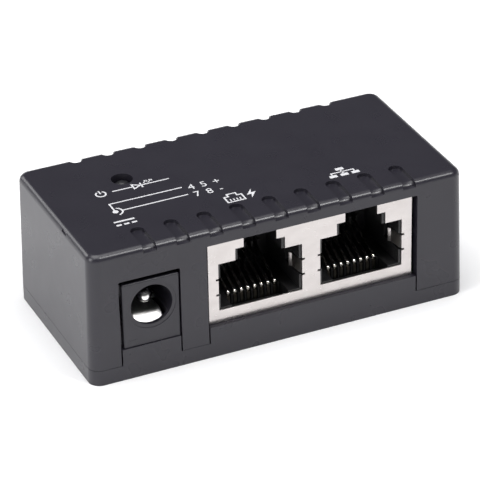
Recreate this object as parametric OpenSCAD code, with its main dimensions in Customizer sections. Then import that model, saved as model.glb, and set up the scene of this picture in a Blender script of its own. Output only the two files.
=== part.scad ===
// Passive two-port power-over-Ethernet injector: a two-part plastic case round a circuit board that
// carries a DC power jack, a shielded pair of modular jacks, an indicator lamp and its resistor.
// +Z is up and -Y is the connector face. The origin is the middle of the underside.

/* [Case] */
// Width of the case at the seam
case_w = 57; // [56.5:0.1:58]
// Depth of the case at the seam
case_d = 27.75; // [27.5:0.05:28.5]
// Height of the closed case
case_h = 20; // [19.8:0.1:21]
// Height of the seam between base and cover
seam_z = 2.3; // [2:0.1:2.4]
// Thickness of the case walls
wall = 1.5; // [1.2:0.1:1.6]
// Radius of the upright corners
corner_r = 1.7; // [1.4:0.1:2.2]
// Radius of the edge round the top
edge_r = 1.05; // [0.8:0.05:1.2]
// Taper of the end walls, in degrees
end_draft = 1.33; // [0.5:0.01:1.5]
// Taper of the front and back walls, in degrees
face_draft = 0.49; // [0.2:0.01:0.8]

/* [Grooves] */
// Number of grooves along each long top edge
groove_count = 9; // [3:1:9]
// Distance between grooves
groove_pitch = 4.87; // [4.5:0.01:5]
// Width of a groove
groove_w = 2; // [1.2:0.1:2.4]
// Depth of a groove below the surface
groove_depth = 0.5; // [0.3:0.05:0.7]
// How far a front groove runs back over the top
groove_reach = 5.5; // [3:0.1:7]
// How far a back groove runs forward over the top
back_groove_reach = 1.7; // [1.2:0.1:5]
// How far a back groove runs down the back wall
back_groove_drop = 4; // [1:0.5:8]

/* [Modular jacks] */
// Distance between the middles of the two ports
port_pitch = 15.4; // [15:0.1:16]
// Middle of the pair of ports, across the case
ports_x = 4.845; // [4:0.05:5.5]
// Width of the metal shield round both ports
shield_w = 31.1; // [30:0.1:31.4]
// Height of the top of the shield
shield_top = 17.5; // [17:0.1:17.6]
// How far the shield's front stands behind the case front
shield_recess = 0.8; // [0.6:0.1:1]
// Distance between neighbouring contacts
contact_pitch = 1.016; // [1.016:0.001:1.02]
// Slope of a relaxed contact spring, in degrees
contact_rise = 22; // [18:1:24]

/* [Power jack] */
// Middle of the power jack, across the case
dc_x = -19.34; // [-20:0.05:-19]
// Height of the power jack's axis
dc_z = 10.75; // [10.5:0.05:11]
// Width of the power jack
dc_w = 8.28; // [8:0.01:8.4]
// Diameter of the power jack's socket
dc_bore = 6.1; // [5.8:0.1:6.3]
// Diameter of the power jack's centre pin
dc_pin = 2.1; // [2:0.1:2.5]

/* [Indicator lamp] */
// Diameter of the lamp
led_d = 2.9; // [2.8:0.05:3]
// Place of the lamp, across the case
led_x = -15.6; // [-16:0.1:-15]
// Place of the lamp, from front to back
led_y = 5; // [4.5:0.1:6]

/* [Hidden] */

cut = 0.5; // overshoot of a cutting solid past the face that it opens
seam_gap = 0.05; // open line between base and cover
front_y = -case_d / 2;

// Case inside: floor, board and lid heights
floor_z = 1.5;
board_t = 1.6;
solder_h = 0.8; // how far a joint stands below the board
board_top = 4.85;
board_z = board_top - board_t;
ceiling_z = case_h - 1.6;
board_w = case_w - 2 * wall - 0.6;
board_d = case_d - 2 * wall - 0.35;
board_r = 1;
drill_h = 3; // length of a cutter that goes right through the board or the lid
lip_gap = 0.15;
lip_t = 0.9;

// Locating pins: posts on the base, sockets in the cover
pin_r = 0.95;
socket_r = 1;
socket_top = 7.5;
pin_top = 7;
pin_tip = 0.4;
boss_r = 1.8;
post_r = 1.6;
pin_places = [[-12.95, -9.5], [24, -9.5], [-24, 9.2], [24, 9.2]];

// Windows in the cover and the tongues of the base that close their feet
dc_window_x = -19.61;
dc_window_w = 9.04;
dc_window_top = 15.43;
window_reach = 0.4; // how far a window's cut runs on behind the wall
port_window_x = 4.91;
port_window_w = 32.04;
port_window_top = 17.64;
tongue_gap = 0.2;
tongue_top = 4.8;

// Grooves
groove_mid = 0.21; // the rows stand this far to the right of the middle
groove_ledge_z = case_h - 1;

// Shield and housing
sheet = 0.25;
shield_front = front_y + shield_recess;
shield_back = 2.95;
shield_left = ports_x - shield_w / 2;
housing_gap = 0.03;
ports = [ports_x - port_pitch / 2, ports_x + port_pitch / 2];
plate_open_w = 12.63;
plate_open_z = 6.73;
plate_open_top = 14.05;
plate_step_w = 7.48;
plate_step_top = 15.84;
plate_latch_w = 4.92;
plate_latch_top = 17.22;
finger_low = 9.35;
finger_high = 11.45;
relief = 0.3;
leg_w = 1.5;
leg_foot = 2.2;
leg_places = [-8, -0.5];

cavity_w = 11.9;
cavity_z = 6.95;
cavity_top = 13.95;
cavity_back = -2.1;
latch_w = 6.6;
latch_top = 16.6;
well_w = 8.6; // open well between the ledges, where the contacts stand
well_floor = 5.25; // floor in front of the contacts
well_front = -10.25;
peg_r = 1.55;
peg_foot = 3.3;
peg_dx = 5.85;
peg_y = -4.4;

// Contacts
wire_w = 0.44;
wire_t = 0.3;
knuckle_r = 0.42;
knuckle_y = -9.55;
knuckle_z = 7;
arm_len = 7.1;
wire_low = 5.15;
tail_r = 0.23;
tail_foot = 2;
tail_rows = [-0.6, 1.2];
contacts = [for (i = [0:7]) i];
carrier_w = 8.4;
carrier_top = 6.4;
carrier_back = 2;
comb_t = 0.28; // tooth between two wires
comb_top = 10.4;
wire_slot_w = 0.52;

// Power jack
dc_front = front_y + 0.2;
dc_ear = 0.16; // how much wider the front flange is on the left
dc_rail_w = 0.35; // step beside the flange, in the gap of the window
dc_rail_y = dc_front + 0.6;
dc_back = 0.4;
dc_barrel_w = 7.9;
dc_rim_w = 0.55; // shallow ring sunk round the mouth of the socket
dc_rim_depth = 0.1;
dc_top = 14.75;
dc_flange_back = dc_front + 3.2;
dc_socket_back = -3.2;
dc_pin_tip = -11.9;
dc_shank_r = 1.3; // part of the pin inside the back wall
dc_rivet_r = 0.8; // end of the pin that carries its terminal
dc_slot_y = 0; // floor of the slot for that terminal
dc_well_w = 5;
dc_well_z = 6.2;
leaf_w = 4.3;
leaf_t = 0.3;
leaf_root_r = 0.3;
leaf_lug = 0.8;
leaf_pivot = [-3.3, 7];
leaf_path = [leaf_pivot, [-4.4, 7.3], [-7.6, 8], [-10.8, 8.4], [-11.3, 8.35], [-12.65, 7.1]];
terminal_w = 2.4;
terminal_foot = 2.1;
shunt_y = -7.6;
shunt_l = 1.2;

// Lamp and resistor
led_top = 19.6;
led_rim_z = 14.3;
led_rim_t = 1;
led_rim_r = 1.6;
led_hole_d = 3.1;
lead_r = 0.25;
led_pitch = 2.54;
resistor_at = [3, 8, 6.15];
resistor_r = 1.15;
resistor_l = 6.2;
resistor_cap = 1.8; // thicker stretch at each end of the body
resistor_span = 10.16;
resistor_lead_r = 0.3;

$fn = 48;

// ---- Helpers ----

// Half width and half depth of the cover at a height, with the taper of its walls
function half_w(z) = case_w / 2 - (z - seam_z) * tan(end_draft);
function half_d(z) = case_d / 2 - (z - seam_z) * tan(face_draft);

// Place of contact i across the case
function contact_x(port, i) = port + (i - 3.5) * contact_pitch;

module rounded_rect(w, d, r) {
    for (sx = [-1, 1], sy = [-1, 1]) translate([sx * (w / 2 - r), sy * (d / 2 - r)]) circle(r);
    square([w - 2 * r, d], center = true);
    square([w, d - 2 * r], center = true);
}

// Box between two corners
module block(a, b) translate(a) cube(b - a);

// Outline drawn in the Y-Z plane, given a width across X
module across(w) rotate([90, 0, 90]) translate([0, 0, -w / 2]) linear_extrude(w) children();

// Direction of a path's stretch i, and the offset that a strip's edge has at point i
function heading(path, i) = (path[i + 1] - path[i]) / norm(path[i + 1] - path[i]);
function edge_offset(path, i, h) =
    let (a = heading(path, max(i - 1, 0)), b = heading(path, min(i, len(path) - 2)))
    let (mean = (a + b) / norm(a + b))
    [-mean[1], mean[0]] * h / (mean * a);

// Strip of even thickness that follows a path
module strip(path, t) polygon(concat(
    [for (i = [0:len(path) - 1]) path[i] + edge_offset(path, i, t / 2)],
    [for (i = [len(path) - 1:-1:0]) path[i] - edge_offset(path, i, t / 2)]
));

// Tapered body of the cover with its rounded top edge, shrunk by an inset
module case_body(inset, z0) {
    top = case_h - inset;
    r = corner_r - inset / 2;
    hull() {
        translate([0, 0, z0]) linear_extrude(0.01)
            rounded_rect(2 * (half_w(z0) - inset), 2 * (half_d(z0) - inset), r, $fn = 32);
        for (sx = [-1, 1], sy = [-1, 1])
            translate([sx * (half_w(top) - inset - r), sy * (half_d(top) - inset - r), top - edge_r])
                rotate_extrude($fn = 32) {
                    translate([r - edge_r, 0]) intersection() {
                        circle(edge_r, $fn = 32);
                        square(edge_r);
                    }
                    square([r - edge_r, edge_r]);
                }
    }
}

// Slot with one round end: runs along Y from the round end at y = 0 for a length
module slot(w, len, z0, z1) translate([0, 0, z0]) {
    cylinder(r = w / 2, h = z1 - z0);
    translate([-w / 2, 0, 0]) cube([w, len, z1 - z0]);
}

module groove_row() for (i = [0:groove_count - 1])
    translate([groove_mid + (i - (groove_count - 1) / 2) * groove_pitch, 0, 0]) children();

// Everything that the grooves take out of the cover
module grooves() difference() {
    groove_row() {
        translate([0, front_y + groove_reach - groove_w / 2, 0]) rotate(180)
            slot(groove_w, groove_reach, groove_ledge_z, case_h + cut);
        translate([0, -front_y - back_groove_reach + groove_w / 2, 0])
            slot(groove_w, back_groove_reach, case_h - back_groove_drop, case_h + cut);
    }
    case_body(groove_depth, seam_z + 2);
}

// Solid that is as wide as a window, for cutting it
module window(x, w, top)
    block([x - w / 2, front_y - cut, seam_z - cut], [x + w / 2, front_y + wall + window_reach, top]);

// Tongue of the base that closes the foot of a window
module tongue(x, w)
    block([x - w / 2 + tongue_gap, front_y, floor_z], [x + w / 2 - tongue_gap, front_y + wall, tongue_top]);

// Outline of the opening in the shield's front, for one port
module port_outline() {
    block2([-plate_open_w / 2, plate_open_z], [plate_open_w / 2, plate_open_top]);
    block2([-plate_step_w / 2, plate_open_top - cut], [plate_step_w / 2, plate_step_top]);
    block2([-plate_latch_w / 2, plate_step_top - cut], [plate_latch_w / 2, plate_latch_top]);
    for (side = [-1, 1], z = [finger_low - relief, finger_high])
        translate([side * plate_open_w / 2, z + relief / 2]) square([0.8, relief], center = true);
}

module block2(a, b) translate(a) square(b - a);

// Spring finger of the shield, folded back along one side of a port
module finger(port, side) {
    path = [
        [side * plate_open_w / 2 + side * sheet / 2, shield_front + sheet / 2],
        [side * 6.2, shield_front + 0.5],
        [side * 5.95, shield_front + 2.5],
        [side * 5.6, shield_front + 2.85]
    ];
    translate([port, 0, finger_low]) linear_extrude(finger_high - finger_low) strip(path, 0.2);
}

// Round holes through the board for the wires of one port
module tail_places(port) for (i = contacts)
    translate([contact_x(port, i), tail_rows[i % 2], 0]) children();

module led_lead_places() for (s = [-1, 1]) translate([led_x + s * led_pitch / 2, led_y, 0]) children();

module resistor_lead_places() for (s = [-1, 1])
    translate([resistor_at[0] + s * resistor_span / 2, resistor_at[1], 0]) children();

module peg_places() for (port = ports, s = [-1, 1]) translate([port + s * peg_dx, peg_y, 0]) children();

// Middles of the power jack's three terminals on the board: [x, y, size across x, size across y]
dc_terminals = [
    [dc_x, dc_back - 0.2, terminal_w, leaf_t],
    [dc_x, leaf_pivot[0], terminal_w, leaf_t],
    [dc_x + 3.2, shunt_y, leaf_t, shunt_l]
];

// Middles of the shield's legs
shield_sides = [shield_left + sheet / 2, shield_left + shield_w - sheet / 2];
shield_legs = [for (x = shield_sides, y = leg_places) [x, y, sheet, leg_w]];

// Upright bar whose middle and size are given like a terminal's, grown by extra on every side
module upright(t, z0, z1, extra = 0) {
    half = [t[2] / 2 + extra, t[3] / 2 + extra];
    block([t[0] - half[0], t[1] - half[1], z0], [t[0] + half[0], t[1] + half[1], z1]);
}

// ---- Case ----

module base() color("#2b2b2f") {
    difference() {
        linear_extrude(seam_z) rounded_rect(case_w, case_d, corner_r);
        translate([0, 0, floor_z]) linear_extrude(seam_z)
            rounded_rect(case_w - 2 * wall, case_d - 2 * wall, board_r);
    }
    tongue(dc_window_x, dc_window_w);
    tongue(port_window_x, port_window_w);
    // lip that stands inside the cover and carries the edge of the board
    difference() {
        inset = wall + lip_gap;
        translate([0, 0, floor_z - 0.1]) linear_extrude(board_z - floor_z + 0.1) difference() {
            rounded_rect(case_w - 2 * inset, case_d - 2 * inset, 0.8);
            rounded_rect(case_w - 2 * (inset + lip_t), case_d - 2 * (inset + lip_t), 0.5);
        }
        for (w = [[dc_window_x, dc_window_w], [port_window_x, port_window_w]])
            block([w[0] - w[1] / 2 - 0.1, front_y, floor_z],
                [w[0] + w[1] / 2 + 0.1, front_y + 4, board_z + cut]);
    }
    // posts under the board, each with the pin that enters the cover
    for (p = pin_places) translate(p) {
        translate([0, 0, floor_z - 0.1]) cylinder(r = post_r, h = board_z - floor_z + 0.1);
        cylinder(r = pin_r, h = pin_top - pin_tip);
        translate([0, 0, pin_top - pin_tip]) cylinder(r1 = pin_r, r2 = pin_r - pin_tip / 2, h = pin_tip);
    }
}

module cover() color("#2b2b2f") difference() {
    union() {
        difference() {
            case_body(0, seam_z + seam_gap);
            translate([0, 0, seam_z - cut]) linear_extrude(ceiling_z - seam_z + cut)
                rounded_rect(case_w - 2 * wall - 0.5, case_d - 2 * wall - 0.1, board_r);
            // the foot of the wall is relieved to take the lip and the board
            translate([0, 0, seam_z - cut]) linear_extrude(board_top - seam_z + cut + 0.6)
                rounded_rect(case_w - 2 * wall, case_d - 2 * wall, board_r);
        }
        for (p = pin_places) translate([p[0], p[1], board_top + 0.1])
            cylinder(r = boss_r, h = ceiling_z - board_top);
    }
    for (p = pin_places) translate([p[0], p[1], board_top - cut])
        cylinder(r = socket_r, h = socket_top - board_top + cut);
    window(dc_window_x, dc_window_w, dc_window_top);
    window(port_window_x, port_window_w, port_window_top);
    grooves();
    translate([led_x, led_y, ceiling_z - cut]) cylinder(d = led_hole_d, h = drill_h);
}

// ---- Board ----

module circuit_board() color("#1f5c34") difference() {
    translate([0, 0, board_z]) linear_extrude(board_t) rounded_rect(board_w, board_d, board_r);
    translate([0, 0, board_z - cut]) {
        for (p = pin_places) translate(p) cylinder(r = pin_r + 0.15, h = drill_h);
        for (port = ports) tail_places(port) cylinder(r = tail_r + 0.17, h = drill_h, $fn = 24);
        led_lead_places() cylinder(r = lead_r + 0.17, h = drill_h, $fn = 24);
        resistor_lead_places() cylinder(r = resistor_lead_r + 0.15, h = drill_h, $fn = 24);
        peg_places() cylinder(r = peg_r + 0.1, h = drill_h);
    }
    for (t = concat(dc_terminals, shield_legs)) upright(t, board_z - cut, board_top + cut, 0.3);
}

module solder_ring(r) translate([0, 0, board_z]) mirror([0, 0, 1]) difference() {
    cylinder(r1 = r + 0.45, r2 = r + 0.12, h = solder_h, $fn = 24);
    translate([0, 0, -cut]) cylinder(r = r, h = solder_h + 2 * cut, $fn = 24);
}

module solder_block(t) difference() {
    upright(t, board_z - 0.7, board_z, 0.55);
    upright(t, board_z - 2, board_z + cut, 0);
}

module solder_joints() color("#c9cdd2") {
    for (port = ports) tail_places(port) solder_ring(tail_r);
    led_lead_places() solder_ring(lead_r);
    resistor_lead_places() solder_ring(resistor_lead_r);
    for (t = concat(dc_terminals, shield_legs)) solder_block(t);
}

// ---- Modular jacks ----

module jack_shield() color("#dcdde0") {
    difference() {
        block([shield_left, shield_front, board_top],
            [shield_left + shield_w, shield_back - sheet, shield_top]);
        block([shield_left + sheet, shield_front + sheet, board_top - cut],
            [shield_left + shield_w - sheet, shield_back + cut, shield_top - sheet]);
        for (port = ports) translate([port, shield_front + sheet + cut, 0]) rotate([90, 0, 0])
            linear_extrude(sheet + 2 * cut) port_outline();
    }
    for (leg = shield_legs) upright(leg, leg_foot, board_top);
    for (port = ports, side = [-1, 1]) finger(port, side);
}

module jack_shield_rear() color("#dcdde0") {
    block([shield_left, shield_back - sheet, board_top], [shield_left + shield_w, shield_back, shield_top]);
}

module jack_housing() color("#18181a") {
    x0 = shield_left + sheet + housing_gap;
    x1 = shield_left + shield_w - sheet - housing_gap;
    y0 = shield_front + sheet + housing_gap;
    y1 = shield_back - sheet - housing_gap;
    difference() {
        block([x0, y0, board_top], [x1, y1, shield_top - sheet - housing_gap]);
        for (port = ports) translate([port, 0, 0]) {
            block([-cavity_w / 2, y0 - cut, cavity_z], [cavity_w / 2, cavity_back, cavity_top]);
            block([-latch_w / 2, y0 - cut, cavity_top - cut], [latch_w / 2, cavity_back - 2, latch_top]);
            block([-plate_latch_w / 2, y0 - cut, latch_top - cut], [plate_latch_w / 2, y0 + 2.2, shield_top]);
            block([-well_w / 2, y0 - cut, well_floor], [well_w / 2, cavity_back, cavity_z + cut]);
            block([-well_w / 2, well_front, board_top - cut], [well_w / 2, cavity_back, cavity_z + cut]);
            block([-well_w / 2, cavity_back - cut, board_top - cut],
                [well_w / 2, y1 + cut, carrier_top + 0.1]);
            // room for the shield's fingers
            for (side = [-1, 1]) translate([side * 6.2, y0 + 2.1, (finger_low + finger_high) / 2])
                cube([0.9, 4.8, finger_high - finger_low + 0.5], center = true);
        }
    }
    peg_places() translate([0, 0, peg_foot]) cylinder(r = peg_r, h = board_top - peg_foot + 0.2);
}

// Insert that holds the eight wires of one port, with a comb at the front and one at the back
module contact_carrier(port) color("#202023") translate([port, 0, 0]) difference() {
    heel = knuckle_y - knuckle_r + wire_t + 0.05;
    union() {
        block([-carrier_w / 2, heel, board_top], [carrier_w / 2, carrier_back, carrier_top]);
        block([-carrier_w / 2, cavity_back - 1.2, board_top],
            [carrier_w / 2, cavity_back - 0.05, carrier_top]);
        for (i = [0:8]) {
            x = (i - 4) * contact_pitch;
            block([x - comb_t / 2, knuckle_y - knuckle_r - 0.1, board_top],
                [x + comb_t / 2, knuckle_y + 2, knuckle_z - 0.1]);
            block([x - comb_t / 2, cavity_back - 1.4, board_top],
                [x + comb_t / 2, cavity_back - 0.05, comb_top]);
        }
    }
    for (i = contacts) {
        x = contact_x(0, i);
        block([x - wire_slot_w / 2, heel - cut, wire_low - 0.05],
            [x + wire_slot_w / 2, tail_rows[i % 2] + 0.3, wire_low + wire_t + 0.05]);
        translate([x, tail_rows[i % 2], board_top - cut]) cylinder(r = tail_r + 0.05, h = 0.9, $fn = 24);
    }
}

// Moving arms: each turns about its knuckle when a plug presses it down
module contact_springs(port) color("#d9b45a") for (i = contacts)
    translate([contact_x(port, i), knuckle_y, knuckle_z]) across(wire_w) {
        circle(knuckle_r, $fn = 32);
        rotate(contact_rise) translate([0, knuckle_r - wire_t]) square([arm_len, wire_t]);
        rotate(contact_rise) translate([arm_len, knuckle_r - wire_t / 2]) circle(wire_t / 2, $fn = 24);
    }

// Fixed ends: up the front of the carrier, under it, and down through the board
module contact_tails(port) color("#d9b45a") for (i = contacts) {
    toe = knuckle_y - knuckle_r;
    foot_y = tail_rows[i % 2];
    translate([contact_x(port, i), 0, 0]) {
        across(wire_w) {
            block2([toe, wire_low], [foot_y + 0.2, wire_low + wire_t]);
            block2([toe, wire_low], [toe + wire_t, knuckle_z - knuckle_r - 0.04]);
        }
        translate([0, foot_y, tail_foot]) cylinder(r = tail_r, h = wire_low + 0.1 - tail_foot, $fn = 24);
    }
}

module poe_contact_carrier() contact_carrier(ports[0]);
module lan_contact_carrier() contact_carrier(ports[1]);
module poe_contact_springs() contact_springs(ports[0]);
module lan_contact_springs() contact_springs(ports[1]);
module poe_contact_tails() contact_tails(ports[0]);
module lan_contact_tails() contact_tails(ports[1]);

// ---- Power jack ----

// Solid along the jack's axis between two depths
module dc_round(r, y0, y1) translate([dc_x, y1, dc_z]) rotate([90, 0, 0]) cylinder(r = r, h = y1 - y0);

module dc_jack_body() color("#1d1d20") difference() {
    union() {
        block([dc_x - dc_w / 2 - dc_ear, dc_front, board_top], [dc_x + dc_w / 2, dc_flange_back, dc_top]);
        block([dc_x - dc_w / 2 - dc_ear - dc_rail_w, dc_rail_y, board_top],
            [dc_x, dc_rail_y + 1, dc_top - 0.1]);
        block([dc_x - dc_barrel_w / 2, dc_front + 1, board_top], [dc_x + dc_barrel_w / 2, dc_back, dc_z]);
        dc_round(dc_top - dc_z, dc_front + 1, dc_back);
    }
    dc_round(dc_bore / 2, dc_front - cut, dc_socket_back);
    dc_round(dc_bore / 2 + dc_rim_w, dc_front - cut, dc_front + dc_rim_depth);
    dc_round(dc_shank_r + 0.01, dc_socket_back - cut, dc_back + cut);
    // well under the socket for the sleeve spring, with a way down for its terminal
    block([dc_x - dc_well_w / 2, dc_front + 0.7, dc_well_z],
        [dc_x + dc_well_w / 2, leaf_pivot[0] + 0.6, dc_z - 1.5]);
    upright(dc_terminals[1], board_top - cut, dc_well_z + cut, 0.05);
    // side pocket for the switching contact
    block([dc_x + dc_well_w / 2 - cut, shunt_y - 0.9, board_top - cut], [dc_x + 3.45, shunt_y + 0.9, 9.2]);
    // slot in the back for the pin's terminal
    block([dc_x - terminal_w / 2 - 0.05, dc_slot_y, board_top - cut],
        [dc_x + terminal_w / 2 + 0.05, dc_back + cut, dc_z + 1.8]);
}

module dc_center_pin() color("#d4d4d0") {
    dc_round(dc_pin / 2, dc_pin_tip + dc_pin / 2, dc_socket_back);
    translate([dc_x, dc_pin_tip + dc_pin / 2, dc_z]) sphere(dc_pin / 2);
    dc_round(dc_shank_r, dc_socket_back, dc_slot_y);
    dc_round(dc_rivet_r, dc_slot_y, dc_back + 0.15);
}

module dc_pin_terminal() color("#c8c8c4") difference() {
    upright(dc_terminals[0], terminal_foot, dc_z + 1.7);
    dc_round(dc_rivet_r + 0.01, dc_back - 2, dc_back + 2);
}

// Side view of the sleeve spring, with the rolled root that it turns about
module leaf_outline() {
    strip(leaf_path, leaf_t);
    translate(leaf_pivot) circle(leaf_root_r, $fn = 32);
}

module dc_sleeve_spring() color("#d4d4d0") {
    translate([dc_x, 0, 0]) across(leaf_w) leaf_outline();
    // lug that bears up against the switching contact until a plug comes in
    intersection() {
        translate([dc_x + leaf_w / 2, 0, 0]) across(2 * leaf_lug) leaf_outline();
        block([dc_x, shunt_y - 0.4, 7], [dc_x + leaf_w, shunt_y + 0.4, 9]);
    }
}

module dc_sleeve_terminal() color("#c8c8c4")
    upright(dc_terminals[1], terminal_foot, leaf_pivot[1] - leaf_root_r - 0.05);

module dc_shunt_contact() color("#c8c8c4") {
    upright(dc_terminals[2], terminal_foot, 8.85);
    block([dc_x + 2.6, shunt_y - 0.5, 8.55], [dc_x + 3.3, shunt_y + 0.5, 8.85]);
}

// ---- Indicator lamp ----

module power_led() color("#3c4a3e", 0.9) translate([led_x, led_y, 0]) {
    dome_z = led_top - led_d / 2;
    translate([0, 0, led_rim_z]) cylinder(r = led_rim_r, h = led_rim_t);
    translate([0, 0, led_rim_z]) cylinder(d = led_d, h = dome_z - led_rim_z);
    translate([0, 0, dome_z]) sphere(d = led_d);
}

module led_leads() color("#c9cdd2") led_lead_places()
    translate([0, 0, tail_foot]) cylinder(r = lead_r, h = led_rim_z - tail_foot, $fn = 24);

module led_resistor() color("#7fa9c4") translate(resistor_at) rotate([0, 90, 0]) {
    cylinder(r = resistor_r - 0.15, h = resistor_l - 1, center = true);
    for (s = [-1, 1]) translate([0, 0, s * (resistor_l - resistor_cap) / 2])
        cylinder(r = resistor_r, h = resistor_cap, center = true);
}

module resistor_leads() color("#c9cdd2") for (s = [-1, 1])
    translate([resistor_at[0] + s * resistor_span / 2, resistor_at[1], 0]) {
        reach = (resistor_span - resistor_l) / 2;
        translate([0, 0, resistor_at[2]]) rotate([0, -90 * s, 0])
            cylinder(r = resistor_lead_r, h = reach, $fn = 24);
        translate([0, 0, resistor_at[2]]) sphere(resistor_lead_r, $fn = 24);
        translate([0, 0, tail_foot]) cylinder(r = resistor_lead_r, h = resistor_at[2] - tail_foot, $fn = 24);
    }

base();
cover();
circuit_board();
jack_shield();
jack_shield_rear();
jack_housing();
poe_contact_carrier();
lan_contact_carrier();
poe_contact_springs();
lan_contact_springs();
poe_contact_tails();
lan_contact_tails();
dc_jack_body();
dc_center_pin();
dc_pin_terminal();
dc_sleeve_spring();
dc_sleeve_terminal();
dc_shunt_contact();
power_led();
led_leads();
led_resistor();
resistor_leads();
solder_joints();
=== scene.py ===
"""Looks of a passive two-port PoE injector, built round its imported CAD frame."""

import math

import bmesh
import bpy
from mathutils import Matrix, Vector


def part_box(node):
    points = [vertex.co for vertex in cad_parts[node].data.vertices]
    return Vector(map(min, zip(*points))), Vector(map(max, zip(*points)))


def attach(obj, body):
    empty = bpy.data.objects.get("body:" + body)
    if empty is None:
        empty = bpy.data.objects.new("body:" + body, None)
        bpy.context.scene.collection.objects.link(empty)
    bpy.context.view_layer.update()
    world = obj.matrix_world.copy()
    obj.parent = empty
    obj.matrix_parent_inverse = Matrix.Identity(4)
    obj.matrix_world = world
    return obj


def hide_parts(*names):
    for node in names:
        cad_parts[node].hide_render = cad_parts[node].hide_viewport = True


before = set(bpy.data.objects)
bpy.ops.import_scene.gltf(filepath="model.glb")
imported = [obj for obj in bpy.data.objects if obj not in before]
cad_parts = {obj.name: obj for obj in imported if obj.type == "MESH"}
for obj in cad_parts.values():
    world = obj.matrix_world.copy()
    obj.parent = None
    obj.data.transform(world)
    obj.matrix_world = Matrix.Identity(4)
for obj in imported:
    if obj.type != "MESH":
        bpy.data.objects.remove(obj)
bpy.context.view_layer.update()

MM = 0.001  # all sizes below are in millimetres, and meshes are scaled by this at the end


# ---------------------------------------------------------------- dimensions

def node_box(name):
    """Lowest and highest corner of a CAD node, in millimetres."""
    return [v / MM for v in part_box(name)]


BASE_LO, BASE_HI = node_box("base")
COVER_LO, COVER_HI = node_box("cover")
CASE_W = BASE_HI.x - BASE_LO.x
CASE_D = BASE_HI.y - BASE_LO.y
CASE_TOP = COVER_HI.z
SEAM = 2.3
COVER_FOOT = COVER_LO.z
FRONT = BASE_LO.y
WALL = 1.5
CORNER_R = 1.7
EDGE_R = 1.05
END_DRAFT = math.tan(math.radians(1.33))
FACE_DRAFT = math.tan(math.radians(0.49))
CEILING = CASE_TOP - 1.6
PAST = 1.0  # how far a cutter runs past the face that it opens

BOARD_TOP = node_box("circuit_board")[1].z
PIN_PLACES = [(-12.95, -9.5), (24, -9.5), (-24, 9.2), (24, 9.2)]
BOSS_R = 1.8
SOCKET_R = 1.0
SOCKET_TOP = 7.5
MOULD_NICKS = [(-1, -4.4), (1, 1.5)]  # side of the case and place along it
NICK_HALF_LENGTH = 0.7
NICK_HALF_DEPTH = 0.12
NICK_DROP = 0.75

GROOVE_COUNT = 9
GROOVE_PITCH = 4.87
GROOVE_MID = 0.21  # the rows stand this far to the right of the middle
GROOVE_W = 2.0
GROOVE_DEPTH = 0.5
GROOVE_REACH = 5.5  # over the top from the front
GROOVE_LEDGE = 1.0
BACK_REACH = 1.7  # over the top from the back
BACK_DROP = 4.0

DC_WINDOW = (-19.61, 9.04, 15.43)  # middle, width, top
PORT_WINDOW = (4.91, 32.04, 17.64)
WINDOW_REACH = 0.4  # how far a window's cut runs on behind the wall

DC_LO, DC_HI = node_box("dc_jack_body")
PIN_LO, PIN_HI = node_box("dc_center_pin")
DC_X, DC_Z = (PIN_LO.x + PIN_HI.x) / 2, (PIN_LO.z + PIN_HI.z) / 2
DC_BORE_R = 3.05
DC_SHANK_R = 1.31
DC_RIM_W = 0.55  # shallow ring sunk round the mouth of the socket
DC_RIM_DEPTH = 0.08
DC_SOCKET_BACK = -3.2
DC_FLANGE_LEFT = DC_X - 4.3
DC_FLANGE_DEPTH = 3.2
DC_RAIL_W = 0.35  # step beside the flange
DC_RAIL_FRONT = 0.6
DC_RAIL_BACK = 1.6
DC_RAIL_DROP = 0.1
DC_BARREL_HALF_W = 3.95
DC_WELL_HALF_W = 2.5
DC_WELL_FLOOR = 6.2
DC_POCKET_W = 3.45  # side pocket for the switching contact, from the axis
DC_POCKET_Y = (-8.5, -6.7)
DC_POCKET_TOP = 9.2
DC_DROP_Y = (-3.5, -3.1)  # way down for the sleeve spring's terminal
DC_SLOT_HALF_W = 1.25

LEAF_LO, LEAF_HI = node_box("dc_sleeve_spring")
LEAF_HALF_W = 2.15
LEAF_T = 0.28
LEAF_DISH = 0.22
LEAF_ROOT_R = 0.3
LEAF_ROOT = (LEAF_HI.y - LEAF_ROOT_R, LEAF_LO.z + LEAF_ROOT_R)
LEAF_LUG_Y = (-8, -7.2)
LEAF_LUG_Z = (8.05, 8.3)

LED_LO, LED_HI = node_box("power_led")
LED_AT = (LED_LO + LED_HI) / 2
LED_HOLE_R = 1.55


# ---------------------------------------------------------------- mesh helpers

def new_object(name, bm):
    """Object in the scene from a bmesh in millimetres. The bmesh is freed."""
    mesh = bpy.data.meshes.new(name)
    bm.to_mesh(mesh)
    bm.free()
    obj = bpy.data.objects.new(name, mesh)
    bpy.context.scene.collection.objects.link(obj)
    return obj


def rounded_ring(bm, half_w, half_d, r, z, steps=8):
    """Vertices of a rounded rectangle at a height, anticlockwise."""
    ring = []
    corners = [(1, -1, -90), (1, 1, 0), (-1, 1, 90), (-1, -1, 180)]
    for sx, sy, start in corners:
        for k in range(steps + 1):
            a = math.radians(start + 90 * k / steps)
            x = sx * (half_w - r) + r * math.cos(a)
            y = sy * (half_d - r) + r * math.sin(a)
            ring.append(bm.verts.new((x, y, z)))
    return ring


def loft(bm, rings):
    """Skins a stack of rings, from the lowest to the highest, and caps both ends."""
    for low, high in zip(rings, rings[1:]):
        count = len(low)
        for i in range(count):
            j = (i + 1) % count
            bm.faces.new((low[i], low[j], high[j], high[i]))
    bm.faces.new(list(reversed(rings[0])))
    bm.faces.new(rings[-1])


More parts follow.
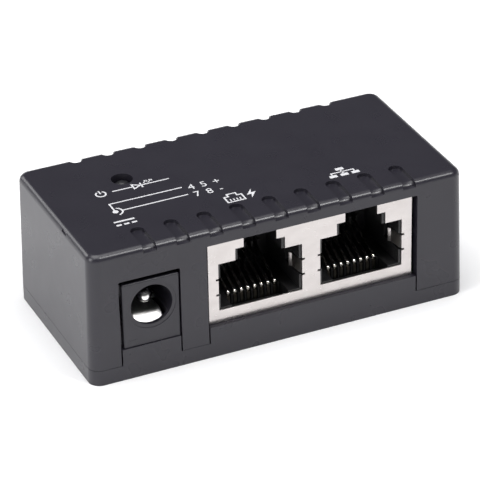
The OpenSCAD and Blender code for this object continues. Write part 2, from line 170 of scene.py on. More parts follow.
def add_box(bm, lo, hi):
    """Adds a box between two corners."""
    made = bmesh.ops.create_cube(bm, size=1)["verts"]
    size = [b - a for a, b in zip(lo, hi)]
    middle = [(a + b) / 2 for a, b in zip(lo, hi)]
    bmesh.ops.scale(bm, vec=size, verts=made)
    bmesh.ops.translate(bm, vec=middle, verts=made)


def add_cylinder(bm, at, r, z0, z1, steps=48):
    """Adds an upright cylinder."""
    made = bmesh.ops.create_cone(
        bm, cap_ends=True, segments=steps, radius1=r, radius2=r, depth=z1 - z0
    )["verts"]
    bmesh.ops.translate(bm, vec=(at[0], at[1], (z0 + z1) / 2), verts=made)


def add_rod(bm, x, z, r, y0, y1, steps=64):
    """Adds a cylinder along Y."""
    made = bmesh.ops.create_cone(
        bm, cap_ends=True, segments=steps, radius1=r, radius2=r, depth=y1 - y0
    )["verts"]
    bmesh.ops.rotate(bm, matrix=Matrix.Rotation(math.radians(90), 3, "X"), verts=made)
    bmesh.ops.translate(bm, vec=(x, (y0 + y1) / 2, z), verts=made)


def rod_object(name, x, z, r, y0, y1):
    bm = bmesh.new()
    add_rod(bm, x, z, r, y0, y1)
    return new_object(name, bm)


def box_object(name, lo, hi):
    bm = bmesh.new()
    add_box(bm, lo, hi)
    return new_object(name, bm)


def cylinder_object(name, at, r, z0, z1):
    bm = bmesh.new()
    add_cylinder(bm, at, r, z0, z1)
    return new_object(name, bm)


def combine(obj, other, how):
    """Boolean of obj with other, which is then removed."""
    m = obj.modifiers.new(how, "BOOLEAN")
    m.operation = how
    m.solver = "EXACT"
    m.object = other
    apply_modifiers(obj)
    bpy.data.objects.remove(other)
    return obj


def apply_modifiers(obj):
    """Replaces the object's mesh by its evaluated one."""
    depsgraph = bpy.context.evaluated_depsgraph_get()
    depsgraph.update()
    mesh = bpy.data.meshes.new_from_object(obj.evaluated_get(depsgraph))
    obj.modifiers.clear()
    obj.data = mesh


SHARP = math.radians(35)  # edges that turn more than this are rounded


def tidy_mesh(obj):
    """Merges doubled points and dissolves the edges that booleans leave in flat faces."""
    bm = bmesh.new()
    bm.from_mesh(obj.data)
    bmesh.ops.remove_doubles(bm, verts=bm.verts, dist=0.0005)
    bmesh.ops.dissolve_limit(
        bm, angle_limit=math.radians(0.3), verts=bm.verts, edges=bm.edges, delimit={"NORMAL"}
    )
    bmesh.ops.recalc_face_normals(bm, faces=bm.faces)
    bm.to_mesh(obj.data)
    bm.free()


def soften(obj, width, segments=3):
    """Rounds the sharp edges."""
    bevel = obj.modifiers.new("edges", "BEVEL")
    bevel.width = width
    bevel.segments = segments
    bevel.limit_method = "ANGLE"
    bevel.angle_limit = SHARP
    bevel.use_clamp_overlap = True
    bevel.harden_normals = False
    apply_modifiers(obj)


def smooth(obj, weight):
    """Smooth shading, with normals that lean towards the larger faces by a weight."""
    for p in obj.data.polygons:
        p.use_smooth = True
    m = obj.modifiers.new("normals", "WEIGHTED_NORMAL")
    m.keep_sharp = True
    m.weight = weight


def place(obj, body, material, replaces=()):
    """Scales a finished piece to metres, gives it its material and lets it ride on a body."""
    obj.data.transform(Matrix.Scale(MM, 4))
    obj.data.materials.clear()
    obj.data.materials.append(material)
    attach(obj, body)
    if replaces:
        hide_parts(*replaces)
    return obj


# ---------------------------------------------------------------- materials

class Nodes:
    """Short way of making and linking the nodes of one material."""

    def __init__(self, name):
        self.material = bpy.data.materials.new(name)
        self.material.use_nodes = True
        self.tree = self.material.node_tree
        self.shader = self.tree.nodes["Principled BSDF"]
        self.place = self.add("ShaderNodeTexCoord").outputs["Object"]

    def add(self, kind, **values):
        node = self.tree.nodes.new(kind)
        for key, value in values.items():
            setattr(node, key, value)
        return node

    def link(self, a, b):
        self.tree.links.new(a, b)

    def set(self, **values):
        for key, value in values.items():
            self.shader.inputs[key.replace("_", " ")].default_value = value

    def noise(self, scale, detail=3.0, roughness=0.5):
        """Noise with a number of cells per metre."""
        n = self.add("ShaderNodeTexNoise")
        n.inputs["Scale"].default_value = scale
        n.inputs["Detail"].default_value = detail
        n.inputs["Roughness"].default_value = roughness
        self.link(self.place, n.inputs["Vector"])
        return n.outputs["Fac"]

    def span(self, value, low, high, from_low=0.3, from_high=0.7):
        """Maps a value onto a range."""
        m = self.add("ShaderNodeMapRange")
        m.inputs["From Min"].default_value = from_low
        m.inputs["From Max"].default_value = from_high
        m.inputs["To Min"].default_value = low
        m.inputs["To Max"].default_value = high
        self.link(value, m.inputs["Value"])
        return m.outputs["Result"]

    def blend(self, value, a, b):
        """Colour that goes from a to b with a value."""
        m = self.add("ShaderNodeMix", data_type="RGBA")
        m.inputs["A"].default_value = (*a, 1)
        m.inputs["B"].default_value = (*b, 1)
        self.link(value, m.inputs["Factor"])
        return m.outputs["Result"]

    def bump(self, height, distance, strength=1.0, below=None):
        """Bump of a height map, laid over another bump if one is given."""
        b = self.add("ShaderNodeBump")
        b.inputs["Strength"].default_value = strength
        b.inputs["Distance"].default_value = distance
        self.link(height, b.inputs["Height"])
        if below is not None:
            self.link(below, b.inputs["Normal"])
        return b.outputs["Normal"]


def case_plastic():
    """Charcoal ABS: a fine moulded grain over slight sink marks, a little uneven in tone and gloss."""
    n = Nodes("case_plastic")
    n.set(IOR=1.5, Specular_IOR_Level=0.5)
    tone = n.span(n.noise(160, 1), 0.0, 1.0)
    n.link(n.blend(tone, (0.0178, 0.0164, 0.0235), (0.0198, 0.0184, 0.0258)), n.shader.inputs["Base Color"])
    n.link(n.span(n.noise(300, 1), 0.27, 0.30), n.shader.inputs["Roughness"])
    grain = n.bump(n.noise(9000, 2), 0.000002, 0.5)
    sink = n.bump(n.noise(120, 1), 0.00001, 0.2, below=grain)
    n.link(sink, n.shader.inputs["Normal"])
    return n.material


def jack_plastic():
    """Black glass-filled nylon of the connectors."""
    n = Nodes("jack_plastic")
    tone = n.span(n.noise(700, 3), 0.0, 1.0)
    n.link(n.blend(tone, (0.012, 0.012, 0.0125), (0.019, 0.0185, 0.019)), n.shader.inputs["Base Color"])
    n.link(n.span(n.noise(2500, 3), 0.32, 0.45), n.shader.inputs["Roughness"])
    n.link(n.bump(n.noise(7000, 2), 0.000004, 0.5), n.shader.inputs["Normal"])
    return n.material


def dc_plastic():
    """Satin black moulding of the power jack, close in tone to the case."""
    n = Nodes("dc_plastic")
    tone = n.span(n.noise(500, 3), 0.0, 1.0)
    n.link(n.blend(tone, (0.0165, 0.0152, 0.0215), (0.0195, 0.018, 0.025)), n.shader.inputs["Base Color"])
    n.link(n.span(n.noise(1500, 3), 0.3, 0.4), n.shader.inputs["Roughness"])
    n.link(n.bump(n.noise(8000, 2), 0.000004, 0.5), n.shader.inputs["Normal"])
    return n.material


def metal(name, colour_a, colour_b, rough_low, rough_high, streak=(1, 1, 1), waviness=0.00001):
    """Plated sheet or wire: faint rolling streaks, patchy tarnish and a slight waviness."""
    n = Nodes(name)
    n.set(Metallic=1.0)
    mapping = n.add("ShaderNodeMapping")
    mapping.inputs["Scale"].default_value = streak
    n.link(n.place, mapping.inputs["Vector"])
    n.place = mapping.outputs["Vector"]
    n.link(n.blend(n.span(n.noise(400, 4), 0.0, 1.0), colour_a, colour_b), n.shader.inputs["Base Color"])
    n.link(n.span(n.noise(1800, 4), rough_low, rough_high), n.shader.inputs["Roughness"])
    n.link(n.bump(n.noise(300, 2), waviness, 0.4), n.shader.inputs["Normal"])
    return n.material


def print_ink():
    """Off-white pad-printed ink, slightly uneven."""
    n = Nodes("print_ink")
    cover = n.span(n.noise(4000, 4, 0.7), 0.0, 1.0, 0.35, 0.6)
    n.link(n.blend(cover, (0.5, 0.5, 0.52), (0.72, 0.72, 0.74)), n.shader.inputs["Base Color"])
    n.link(n.span(n.noise(3000, 3), 0.45, 0.6), n.shader.inputs["Roughness"])
    n.link(n.bump(n.noise(9000, 2), 0.000004, 0.6), n.shader.inputs["Normal"])
    return n.material


def lamp_epoxy():
    """Unlit indicator lamp of smoked epoxy, slightly cloudy."""
    n = Nodes("lamp_epoxy")
    n.set(IOR=1.5)
    n.link(n.blend(n.span(n.noise(1500, 2), 0.0, 1.0), (0.012, 0.012, 0.014), (0.02, 0.02, 0.023)),
           n.shader.inputs["Base Color"])
    n.link(n.span(n.noise(1200, 2), 0.28, 0.38), n.shader.inputs["Roughness"])
    return n.material


def solder_mask():
    """Green solder mask over laminate, with a faint weave."""
    n = Nodes("solder_mask")
    n.set(Coat_Weight=0.3, Coat_Roughness=0.15)
    wave = n.add("ShaderNodeTexWave")
    wave.inputs["Scale"].default_value = 900
    n.link(n.place, wave.inputs["Vector"])
    n.link(n.blend(n.span(n.noise(90, 3), 0.0, 1.0), (0.008, 0.075, 0.028), (0.014, 0.11, 0.04)),
           n.shader.inputs["Base Color"])
    n.link(n.span(n.noise(1000, 3), 0.3, 0.42), n.shader.inputs["Roughness"])
    n.link(n.bump(wave.outputs["Fac"], 0.000006, 0.5), n.shader.inputs["Normal"])
    return n.material


def banded_lacquer():
    """Pale blue resistor lacquer with four colour bands along X."""
    n = Nodes("banded_lacquer")
    n.set(Coat_Weight=0.5, Coat_Roughness=0.2)
    lo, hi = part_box("led_resistor")
    split = n.add("ShaderNodeSeparateXYZ")
    n.link(n.place, split.inputs["Vector"])
    along = n.span(split.outputs["X"], 0.0, 1.0, lo.x, hi.x)
    ramp = n.add("ShaderNodeValToRGB")
    ramp.color_ramp.interpolation = "CONSTANT"
    body, red = (0.13, 0.33, 0.5, 1), (0.35, 0.02, 0.01, 1)
    brown, ochre = (0.03, 0.012, 0.006, 1), (0.5, 0.33, 0.07, 1)
    bands = [(0.16, red), (0.36, red), (0.5, brown), (0.78, ochre)]
    band_w = 0.08
    ramp.color_ramp.elements[0].color = body
    ramp.color_ramp.elements.remove(ramp.color_ramp.elements[1])
    for start, colour in bands:
        ramp.color_ramp.elements.new(start).color = colour
        ramp.color_ramp.elements.new(start + band_w).color = body
    n.link(along, ramp.inputs["Fac"])
    n.link(ramp.outputs["Color"], n.shader.inputs["Base Color"])
    n.link(n.span(n.noise(1500, 3), 0.3, 0.4), n.shader.inputs["Roughness"])
    return n.material


CASE = case_plastic()
NYLON = jack_plastic()
DC_PLASTIC = dc_plastic()
TIN = metal("tin_plate", (0.58, 0.545, 0.53), (0.64, 0.605, 0.59), 0.27, 0.34, (1, 1, 2), 0.000006)
NICKEL = metal("nickel", (0.72, 0.71, 0.69), (0.86, 0.85, 0.83), 0.12, 0.22)
GOLD = metal("gold_flash", (0.86, 0.82, 0.74), (0.95, 0.92, 0.86), 0.11, 0.18)
# Painted shade: very dark gold for the contact tails, darkened to look as they do in the shade inside the
# ports
PORT_SHADED_GOLD = metal("gold_painted_port_shade", (0.20, 0.18, 0.15), (0.28, 0.25, 0.21), 0.3, 0.42)
SPRING = metal("spring_plating", (0.78, 0.77, 0.75), (0.92, 0.91, 0.9), 0.32, 0.48, waviness=0.0001)
POLISHED = metal("polished_pin", (0.80, 0.79, 0.77), (0.92, 0.91, 0.89), 0.05, 0.10)
SOLDER = metal("solder", (0.62, 0.63, 0.64), (0.8, 0.8, 0.8), 0.18, 0.35, waviness=0.00005)
INK = print_ink()
EPOXY = lamp_epoxy()
MASK = solder_mask()
LACQUER = banded_lacquer()


# ---------------------------------------------------------------- case

def half_sizes(z):
    """Half width and half depth of the cover at a height."""
    rise = z - SEAM
    return CASE_W / 2 - rise * END_DRAFT, CASE_D / 2 - rise * FACE_DRAFT


def cover_body(name, inset, foot, steps=8):
    """Closed body of the cover, shrunk by an inset, with its rounded top edge."""
    bm = bmesh.new()
    top = CASE_TOP - inset
    r = CORNER_R - inset / 2
    rings = []

    def level(z, shrink):
        w, d = half_sizes(z)
        rings.append(rounded_ring(bm, w - inset - shrink, d - inset - shrink, r - shrink, z))

    level(foot, 0)
    level(foot + (top - foot) / 2, 0)
    for k in range(steps + 1):
        a = math.radians(90 * k / steps)
        level(top - EDGE_R + EDGE_R * math.sin(a), EDGE_R * (1 - math.cos(a)))
    loft(bm, rings)
    return new_object(name, bm)


def groove_cutter(steps=16):
    """Everything that the two rows of edge grooves take out of the cover."""
    bm = bmesh.new()
    r = GROOVE_W / 2
    rows = [
        (FRONT + GROOVE_REACH - r, FRONT - PAST, CASE_TOP - GROOVE_LEDGE),
        (-FRONT - BACK_REACH + r, -FRONT + PAST, CASE_TOP - BACK_DROP),
    ]
    for i in range(GROOVE_COUNT):
        x = GROOVE_MID + (i - (GROOVE_COUNT - 1) / 2) * GROOVE_PITCH
        for y_end, y_out, z in rows:
            outline = []
            side = 1 if y_out < y_end else -1
            for k in range(steps + 1):
                a = math.radians(180 * k / steps)
                outline.append((x + r * math.cos(a), y_end + side * r * math.sin(a)))
            outline += [(x - r, y_out), (x + r, y_out)]
            if side < 0:
                outline.reverse()
            low = [bm.verts.new((*p, z)) for p in outline]
            high = [bm.verts.new((*p, CASE_TOP + PAST)) for p in outline]
            loft(bm, [low, high])
    cutter = new_object("groove_cutter", bm)
    return combine(cutter, cover_body("groove_floor", GROOVE_DEPTH, SEAM + 1), "DIFFERENCE")


def window_cutter(name, window, r=0.25, steps=4):
    """Window with two rounded top corners, cut through the front wall."""
    middle, width, top = window
    bm = bmesh.new()
    outline = [(middle + width / 2, SEAM - PAST)]
    for side, start in ((1, 0), (-1, 90)):
        for k in range(steps + 1):
            a = math.radians(start + 90 * k / steps)
            outline.append((middle + side * (width / 2 - r) + r * math.cos(a), top - r + r * math.sin(a)))
    outline.append((middle - width / 2, SEAM - PAST))
    back = [bm.verts.new((x, FRONT + WALL + WINDOW_REACH, z)) for x, z in outline]
    front = [bm.verts.new((x, FRONT - PAST, z)) for x, z in outline]
    loft(bm, [back, front])
    return new_object(name, bm)


def build_cover():
    """Top shell with windows, edge grooves, lamp hole and the four pin sockets."""
    cover = cover_body("cover_shell", 0, COVER_FOOT)
    bm = bmesh.new()
    inner_w, inner_d = CASE_W / 2 - WALL, CASE_D / 2 - WALL
    relief = BOARD_TOP + 0.6
    rings = [
        rounded_ring(bm, inner_w, inner_d, 1, SEAM - PAST),
        rounded_ring(bm, inner_w, inner_d, 1, relief),
        rounded_ring(bm, inner_w - 0.25, inner_d - 0.05, 1, relief + 0.01),
        rounded_ring(bm, inner_w - 0.25, inner_d - 0.05, 1, CEILING),
    ]
    loft(bm, rings)
    combine(cover, new_object("cavity", bm), "DIFFERENCE")
    for i, p in enumerate(PIN_PLACES):
        boss = cylinder_object(f"boss_{i}", p, BOSS_R, BOARD_TOP + 0.1, CEILING + 0.4)
        combine(cover, boss, "UNION")
        socket = cylinder_object(f"socket_{i}", p, SOCKET_R, BOARD_TOP - PAST, SOCKET_TOP)
        combine(cover, socket, "DIFFERENCE")
    combine(cover, window_cutter("dc_window", DC_WINDOW), "DIFFERENCE")
    combine(cover, window_cutter("port_window", PORT_WINDOW), "DIFFERENCE")
    combine(cover, groove_cutter(), "DIFFERENCE")
    hole = cylinder_object("lamp_hole", (LED_AT.x, LED_AT.y), LED_HOLE_R, CEILING - PAST, CASE_TOP + PAST)
    combine(cover, hole, "DIFFERENCE")
    for side, y in MOULD_NICKS:
        x = side * (half_sizes(CASE_TOP)[0] - NICK_HALF_DEPTH)
        nick = box_object(
            "nick", (x - NICK_HALF_DEPTH, y - NICK_HALF_LENGTH, CASE_TOP - NICK_DROP),
            (x + NICK_HALF_DEPTH, y + NICK_HALF_LENGTH, CASE_TOP + 0.1)
        )
        combine(cover, nick, "DIFFERENCE")
    tidy_mesh(cover)
    soften(cover, 0.08)
    smooth(cover, 80)
    return place(cover, "cover_shell", CASE, ["cover"])


build_cover()


# ---------------------------------------------------------------- print on the cover

INK_LOW, INK_HIGH = CASE_TOP - 0.02, CASE_TOP + 0.015
INK_W = 0.23


def offset_edges(points, width, closed):
    """Left and right edge of a mitred ribbon along a path."""
    left, right = [], []
    count = len(points)
    for i, p in enumerate(points):
        before = points[i - 1] if i > 0 or closed else None
        after = points[(i + 1) % count] if i < count - 1 or closed else None
        a = (p - before).normalized() if before else (after - p).normalized()
        b = (after - p).normalized() if after else a
        mean = (a + b).normalized()
        side = Vector((-mean.y, mean.x)) * (width / 2) / max(0.4, mean.dot(a))
        left.append(p + side)
        right.append(p - side)
    return left, right


def ribbon(bm, points, width=INK_W, closed=False):
    """Flat raised line of ink along a path."""
    left, right = offset_edges([Vector(p) for p in points], width, closed)
    levels = []
    for edge in (left, right):
        for z in (INK_LOW, INK_HIGH):
            levels.append([bm.verts.new((p.x, p.y, z)) for p in edge])
    l0, l1, r0, r1 = levels
    count = len(points)
    for i in range(count if closed else count - 1):
        j = (i + 1) % count
        bm.faces.new((r1[i], r1[j], l1[j], l1[i]))
        bm.faces.new((l0[i], l0[j], r0[j], r0[i]))
        bm.faces.new((l1[i], l1[j], l0[j], l0[i]))
        bm.faces.new((r0[i], r0[j], r1[j], r1[i]))
    if not closed:
        bm.faces.new((l0[0], r0[0], r1[0], l1[0]))
        bm.faces.new((r0[-1], l0[-1], l1[-1], r1[-1]))


def arc(at, r, start, end, steps=24):
    """Points of an arc, in degrees."""
    turns = [math.radians(start + (end - start) * k / steps) for k in range(steps + 1)]
    return [(at[0] + r * math.cos(a), at[1] + r * math.sin(a)) for a in turns]


def blot(bm, outline):
    """Filled patch of ink."""
    low = [bm.verts.new((x, y, INK_LOW)) for x, y in outline]
    high = [bm.verts.new((x, y, INK_HIGH)) for x, y in outline]
    loft(bm, [low, high])


def square_outline(x, y, w, h):
    return [(x - w / 2, y - h / 2), (x + w / 2, y - h / 2), (x + w / 2, y + h / 2), (x - w / 2, y + h / 2)]


def power_mark(bm):
    """Standby symbol, and the symbol of a light-emitting diode on its lead, for the lamp."""
    x, y = -19.9, 2.2
    ribbon(bm, arc((x, y), 0.7, 120, 420))
    ribbon(bm, [(x, y + 0.1), (x, y + 0.95)])
    ribbon(bm, [(-18.2, y), (-15.2, y)])
    ribbon(bm, [(-15.1, y - 0.62), (-15.1, y + 0.62), (-14, y)], closed=True)
    ribbon(bm, [(-13.86, y - 0.66), (-13.86, y + 0.66)])
    ribbon(bm, [(-13.76, y), (-9.7, y)])
    for dx in (0, 0.75):
        ribbon(bm, [(-13.4 + dx, y + 0.35), (-12.75 + dx, y + 0.95)], 0.14)
        ribbon(bm, [(-13.15 + dx, y + 0.95), (-12.75 + dx, y + 0.95), (-12.75 + dx, y + 0.55)], 0.14)


def polarity_mark(bm):
    """Plug symbol with two leads: the sleeve's to the upper pair, the pin's to the lower one."""
    dot = (-19.95, -3.25)
    blot(bm, arc(dot, 0.42, 0, 345, 23))
    ribbon(bm, arc(dot, 1.0, -78, 66, 16))
    ribbon(bm, [(dot[0], dot[1] + 0.4), (dot[0], -0.95), (-9.1, -0.95)])
    ribbon(bm, [(dot[0] + 1.1, dot[1]), (-9.1, -3.15)])


def direct_current_mark(bm):
    """Solid bar over a broken one."""
    x0, x1, y, bar = -21.3, -18.3, -6.45, 0.36
    ribbon(bm, [(x0, y + 0.5), (x1, y + 0.5)], bar)
    dash = (x1 - x0) / 4
    for k in range(3):
        start = x0 + k * 1.5 * dash
        ribbon(bm, [(start, y - 0.45), (start + dash, y - 0.45)], bar)


def powered_port_mark(bm):
    """Outline of a modular port beside a bolt."""
    x, y = -3.8, -6.7
    half, wing, low, shoulder, high = 1.3, 0.65, -1.1, 0.45, 1.1
    outline = [(half, low), (half, shoulder), (wing, shoulder), (wing, high)]
    left = [(-dx, dy) for dx, dy in reversed(outline)]
    ribbon(bm, [(x + dx, y + dy) for dx, dy in outline + left], closed=True)
    for k in range(4):
        contact = x - 0.72 + 0.48 * k
        ribbon(bm, [(contact, y - 0.88), (contact, y - 0.3)], 0.18)
    bolt_x = -1.2
    bolt = [(-0.75, -0.23), (-0.02, -0.14), (-0.4, -1.2), (0.8, 0.29), (0.06, 0.2), (0.46, 1.2)]
    blot(bm, [(bolt_x + dx, y + dy) for dx, dy in bolt])


def network_mark(bm):
    """Tree of one box over three."""
    x, y, reach = 12.7, -6.7, 1.7
    blot(bm, square_outline(x, y + 0.85, 1.2, 0.65))
    ribbon(bm, [(x, y + 0.6), (x, y)])
    ribbon(bm, [(x - reach, y - 0.6), (x - reach, y), (x + reach, y), (x + reach, y - 0.6)])
    ribbon(bm, [(x, y), (x, y - 0.6)])
    for side in (-1, 0, 1):
        blot(bm, square_outline(x + reach * side, y - 0.85, 1.15, 0.65))


def numerals(name, text, x, y, height):
    """Row of plain contact numbers and a polarity sign."""
    curve = bpy.data.curves.new(name, "FONT")
    curve.body = text
    curve.size = height / 0.7
    curve.space_character = 1.15
    curve.extrude = (INK_HIGH - INK_LOW) / 2
    curve.resolution_u = 4
    writing = bpy.data.objects.new(name, curve)
    bpy.context.scene.collection.objects.link(writing)
    depsgraph = bpy.context.evaluated_depsgraph_get()
    mesh = bpy.data.meshes.new_from_object(writing.evaluated_get(depsgraph))
    bpy.data.objects.remove(writing)
    mesh.transform(Matrix.Translation((x, y, (INK_LOW + INK_HIGH) / 2)))
    obj = bpy.data.objects.new(name, mesh)
    bpy.context.scene.collection.objects.link(obj)
    return obj


def build_print():
    """Every mark on the top, as thin ink that lifts with the cover."""
    marks = {
        "print_power": power_mark, "print_polarity": polarity_mark, "print_dc": direct_current_mark,
        "print_powered_port": powered_port_mark, "print_network": network_mark,
    }
    for name, draw in marks.items():
        bm = bmesh.new()
        draw(bm)
        bmesh.ops.recalc_face_normals(bm, faces=bm.faces)
        place(new_object(name, bm), "cover_shell", INK)
    for name, text, y in [("print_pair_45", "4 5 +", -2.05), ("print_pair_78", "7 8 -", -4.2)]:
        place(numerals(name, text, -8.4, y, 1.4), "cover_shell", INK)


build_print()


# ---------------------------------------------------------------- power jack

def build_jack_body():
    """Moulded jack body: rounded front flange, round back, bore, spring well and mould mark."""
    front, foot, top = DC_LO.y, DC_LO.z, DC_HI.z
    flange_back = front + DC_FLANGE_DEPTH
    body = box_object(
        "dc_jack_moulding", (DC_FLANGE_LEFT, front, foot - 1), (DC_HI.x, flange_back, top)
    )
    soften(body, 0.26, 4)
    trim = box_object("trim", (DC_LO.x - 1, front - 1, foot - 2), (DC_HI.x + 1, flange_back + 1, foot))
    combine(body, trim, "DIFFERENCE")
    added = [
        box_object("rail", (DC_FLANGE_LEFT - DC_RAIL_W, front + DC_RAIL_FRONT, foot),
                   (DC_FLANGE_LEFT + 1, front + DC_RAIL_BACK, top - DC_RAIL_DROP)),
        box_object("back", (DC_X - DC_BARREL_HALF_W, front + 1, foot),
                   (DC_X + DC_BARREL_HALF_W, DC_HI.y, DC_Z)),
        rod_object("barrel", DC_X, DC_Z, top - DC_Z - 0.01, front + 1, DC_HI.y),
    ]
    for piece in added:
        combine(body, piece, "UNION")
    cutters = [
        rod_object("ring", DC_X, DC_Z, DC_BORE_R + DC_RIM_W, front - PAST, front + DC_RIM_DEPTH),
        rod_object("bore", DC_X, DC_Z, DC_BORE_R, front - PAST, DC_SOCKET_BACK),
        rod_object("shank_hole", DC_X, DC_Z, DC_SHANK_R, DC_SOCKET_BACK - PAST, DC_HI.y + PAST),
        box_object("well", (DC_X - DC_WELL_HALF_W, front + 0.7, DC_WELL_FLOOR),
                   (DC_X + DC_WELL_HALF_W, LEAF_HI.y + 0.3, DC_Z - 1.5)),
        box_object("pocket", (DC_X + 2, DC_POCKET_Y[0], foot - PAST),
                   (DC_X + DC_POCKET_W, DC_POCKET_Y[1], DC_POCKET_TOP)),
        box_object("drop", (DC_X - DC_SLOT_HALF_W, DC_DROP_Y[0], foot - PAST),
                   (DC_X + DC_SLOT_HALF_W, DC_DROP_Y[1], DC_WELL_FLOOR + 0.5)),
        box_object("slot", (DC_X - DC_SLOT_HALF_W, 0, foot - PAST),
                   (DC_X + DC_SLOT_HALF_W, DC_HI.y + PAST, DC_Z + 1.8)),
    ]
    for cutter in cutters:
        combine(body, cutter, "DIFFERENCE")
    combine(body, box_object("mark", (-22.9, front - 0.03, 5.7), (-21.6, front + 0.1, 5.9)), "UNION")
    tidy_mesh(body)
    soften(body, 0.05, 2)
    smooth(body, 80)
    return place(body, "base_unit", DC_PLASTIC, ["dc_jack_body"])


def leaf_profile():
    """Side view of the sleeve spring as points (y, z): a long rise, the contact crest and the front lip."""
    rise = [LEAF_ROOT, (LEAF_ROOT[0] - 1.1, 7.3), (-5.4, 7.55), (-7.6, 8.0), (-9.4, 8.3)]
    crest = [(-10.6, 8.42), (-11.1, 8.42), (-11.4, 8.3)]
    lip = [(-11.75, 8.02), (-12.2, 7.55), (LEAF_LO.y + 0.05, 7.0)]
    return rise + crest + lip


def build_leaf():
    """Sleeve spring as a bright dished strip with its rolled root and its lug."""
    bm = bmesh.new()
    columns = 12
    dish_start, dish_run = -4.4, 3
    rows = []
    for y, z in leaf_profile():
        fade = min(1, max(0, (dish_start - y) / dish_run))
        row = []
        for k in range(columns + 1):
            u = 2 * k / columns - 1
            row.append(bm.verts.new((DC_X + LEAF_HALF_W * u, y, z + fade * LEAF_DISH * (u * u - 0.5))))
        rows.append(row)
    for a, b in zip(rows, rows[1:]):
        for k in range(columns):
            bm.faces.new((a[k], a[k + 1], b[k + 1], b[k]))
    bmesh.ops.recalc_face_normals(bm, faces=bm.faces)
    leaf = new_object("dc_sleeve_leaf", bm)
    thick = leaf.modifiers.new("sheet", "SOLIDIFY")
    thick.thickness = LEAF_T
    thick.offset = 0
    rounder = leaf.modifiers.new("round", "SUBSURF")
    rounder.levels = rounder.render_levels = 1
    apply_modifiers(leaf)
    root = rod_object("dc_sleeve_root", 0, 0, LEAF_ROOT_R, -LEAF_HALF_W, LEAF_HALF_W)
    root.data.transform(Matrix.Rotation(math.radians(90), 4, "Z"))
    root.data.transform(Matrix.Translation((DC_X, *LEAF_ROOT)))
    combine(leaf, root, "UNION")
    lug = box_object("lug", (DC_X + LEAF_HALF_W - 0.3, LEAF_LUG_Y[0], LEAF_LUG_Z[0]),
                     (LEAF_HI.x, LEAF_LUG_Y[1], LEAF_LUG_Z[1]))
    combine(leaf, lug, "UNION")
    smooth(leaf, 80)
    return place(leaf, "dc_sleeve", SPRING, ["dc_sleeve_spring"])


build_jack_body()
build_leaf()


# ---------------------------------------------------------------- carried-over CAD nodes

# material of each node and the width of its rounded edges
FINISHES = {
    "base": (CASE, 0.05), "circuit_board": (MASK, 0.05), "jack_shield": (TIN, 0.05),
    "jack_shield_rear": (TIN, 0.05), "jack_housing": (NYLON, 0.08),
    "poe_contact_carrier": (NYLON, 0.03), "lan_contact_carrier": (NYLON, 0.03),
    # the contact tails take the gold darkened as painted shade of the ports' insides
    "poe_contact_springs": (GOLD, 0.06), "lan_contact_springs": (GOLD, 0.06),
    "poe_contact_tails": (PORT_SHADED_GOLD, 0.05), "lan_contact_tails": (PORT_SHADED_GOLD, 0.05),
    "dc_center_pin": (POLISHED, 0.0), "dc_pin_terminal": (NICKEL, 0.05),
    "dc_sleeve_terminal": (NICKEL, 0.05), "dc_shunt_contact": (NICKEL, 0.05),
    "power_led": (EPOXY, 0.0), "led_leads": (SOLDER, 0.0), "led_resistor": (LACQUER, 0.25),
    "resistor_leads": (SOLDER, 0.0), "solder_joints": (SOLDER, 0.08),
}


def finish_node(name, material, edge):
    """Gives a CAD node its material and, by modifiers, welded seams and rounded edges."""
    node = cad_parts[name]
    node.data.materials.clear()
    node.data.materials.append(material)
    weld = node.modifiers.new("weld", "WELD")
    weld.merge_threshold = 0.001 * MM
    flat = node.modifiers.new("flats", "DECIMATE")
    flat.decimate_type = "DISSOLVE"
    flat.angle_limit = math.radians(0.5)
    if edge:
        bevel = node.modifiers.new("edges", "BEVEL")
        bevel.width = edge * MM
        bevel.segments = 2
        bevel.limit_method = "ANGLE"
        bevel.angle_limit = SHARP
    smooth(node, 50)


for name, (material, edge) in FINISHES.items():
    finish_node(name, material, edge)


# ---------------------------------------------------------------- stage, light and camera

def build_floor():
    """Pale floor that fills every view from above."""
    bm = bmesh.new()
    bmesh.ops.create_circle(bm, cap_ends=True, segments=96, radius=6)
    bmesh.ops.translate(bm, vec=(0, 0, -0.02 * MM), verts=bm.verts)
    floor = new_object("floor", bm)
    n = Nodes("studio_floor")
    n.link(n.blend(n.span(n.noise(3, 2), 0.0, 1.0), (0.93, 0.93, 0.935), (0.95, 0.95, 0.955)),
           n.shader.inputs["Base Color"])
    n.set(Roughness=0.9, Specular_IOR_Level=0.1)
    floor.data.materials.append(n.material)


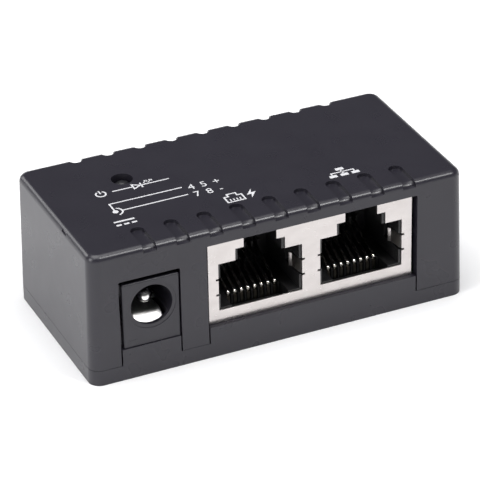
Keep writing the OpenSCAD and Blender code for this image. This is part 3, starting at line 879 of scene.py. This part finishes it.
def build_world():
    """Soft studio round the stage: bright at the horizon, dark above it, and pale overhead."""
    world = bpy.data.worlds.new("studio")
    bpy.context.scene.world = world
    world.use_nodes = True
    tree = world.node_tree
    sky = tree.nodes["Background"]
    direction = tree.nodes.new("ShaderNodeTexCoord")
    split = tree.nodes.new("ShaderNodeSeparateXYZ")
    ramp = tree.nodes.new("ShaderNodeValToRGB")
    tree.links.new(direction.outputs["Generated"], split.inputs["Vector"])
    tree.links.new(split.outputs["Z"], ramp.inputs["Fac"])
    tree.links.new(ramp.outputs["Color"], sky.inputs["Color"])
    stops = ramp.color_ramp.elements
    stops[0].position, stops[0].color = 0.0, (0.95, 0.95, 0.96, 1)
    stops[1].position, stops[1].color = 1.0, (0.35, 0.35, 0.36, 1)
    stops.new(0.12).color = (0.75, 0.75, 0.76, 1)
    stops.new(0.3).color = (0.10, 0.10, 0.105, 1)
    stops.new(0.6).color = (0.10, 0.10, 0.105, 1)
    sky.inputs["Strength"].default_value = 1.0


def area_light(name, at, size, power, target=(0, 0, 0.01)):
    """Round lamp that faces the object."""
    light = bpy.data.lights.new(name, "AREA")
    light.shape = "DISK"
    light.size = size
    light.energy = power
    obj = bpy.data.objects.new(name, light)
    bpy.context.scene.collection.objects.link(obj)
    obj.location = at
    obj.rotation_mode = "QUATERNION"
    obj.rotation_quaternion = (Vector(target) - Vector(at)).to_track_quat("-Z", "Y")


def build_camera():
    """Long lens from the front left, 30 degrees above the floor, rolled slightly."""
    turn, rise, roll = math.radians(-23.894), math.radians(30.0), math.radians(-1.231)
    distance, target = 0.415627, Vector((0.00044, 0.00113, 0.00808))
    back = Vector((math.sin(turn) * math.cos(rise), -math.cos(turn) * math.cos(rise), math.sin(rise)))
    right = Vector((math.cos(turn), math.sin(turn), 0))
    up = back.cross(right)
    tilted_right = right * math.cos(roll) + up * math.sin(roll)
    tilted_up = up * math.cos(roll) - right * math.sin(roll)
    data = bpy.data.cameras.new("camera")
    data.sensor_width = 36
    data.lens = 219.70
    data.clip_start, data.clip_end = 0.01, 50
    camera = bpy.data.objects.new("camera", data)
    bpy.context.scene.collection.objects.link(camera)
    camera.matrix_world = Matrix((
        (tilted_right.x, tilted_up.x, back.x, 0), (tilted_right.y, tilted_up.y, back.y, 0),
        (tilted_right.z, tilted_up.z, back.z, 0), (0, 0, 0, 1),
    ))
    camera.location = target + back * distance
    bpy.context.scene.camera = camera


build_floor()
build_world()
area_light("overhead_soft", (-0.1, 0.0, 0.9), 0.9, 7.6)
area_light("left_soft", (-0.8, -0.1, 0.45), 0.5, 3.4)
area_light("front_key", (0.30, -0.42, 0.68), 0.16, 2.2)
area_light("back_rim", (-0.45, 0.75, 0.42), 0.35, 1.3)
build_camera()
bpy.context.scene.view_settings.view_transform = "Standard"
